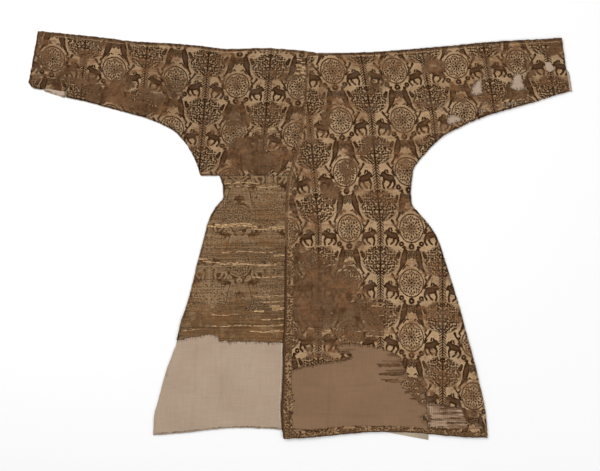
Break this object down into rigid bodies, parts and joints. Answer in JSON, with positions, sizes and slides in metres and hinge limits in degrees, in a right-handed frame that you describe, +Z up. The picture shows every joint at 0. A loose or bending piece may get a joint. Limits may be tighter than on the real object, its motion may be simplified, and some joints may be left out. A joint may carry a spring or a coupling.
{
  "type": "riding coat",
  "caption": "Crossover silk riding coat with tight long sleeves and a flared skirt, laid flat, its silk worn and torn over plain linings.",
  "frame": {"origin": "on the surface under the coat, on the middle line of the body, half way from the cuffs' top edge to the hem", "axes": "+X to the wearer's left sleeve, +Y towards the neck, +Z up from the surface"},
  "size_m": [1.698, 1.277, 0.0068],
  "materials": {
    "patterned_silk": "figured silk, worn, dark brown motifs on a dull gold ground",
    "silk_reverse": "reverse of the figured silk, pale motifs on brown, loose weft",
    "pale_cloth": "plain weave, pale beige, matt",
    "ribbed_cloth": "pale ribbed weave with bared warp",
    "brown_cloth": "plain weave, mid brown, matt",
    "band_silk": "narrow figured silk band, gold and dark brown"
  },
  "bodies": {
    "root": {"back": "patterned_silk", "lining_right": "pale_cloth", "lining_right_cuff": "pale_cloth", "front_right": "patterned_silk", "cuff_right": "patterned_silk", "skirt_right": "silk_reverse", "lining_left_sleeve": "pale_cloth", "lining_left_skirt": "brown_cloth", "lining_left_hem": "ribbed_cloth", "front_left": "patterned_silk", "cuff_left": "patterned_silk", "front_band": "band_silk", "hem_band": "band_silk"}
  },
  "joints": []
}
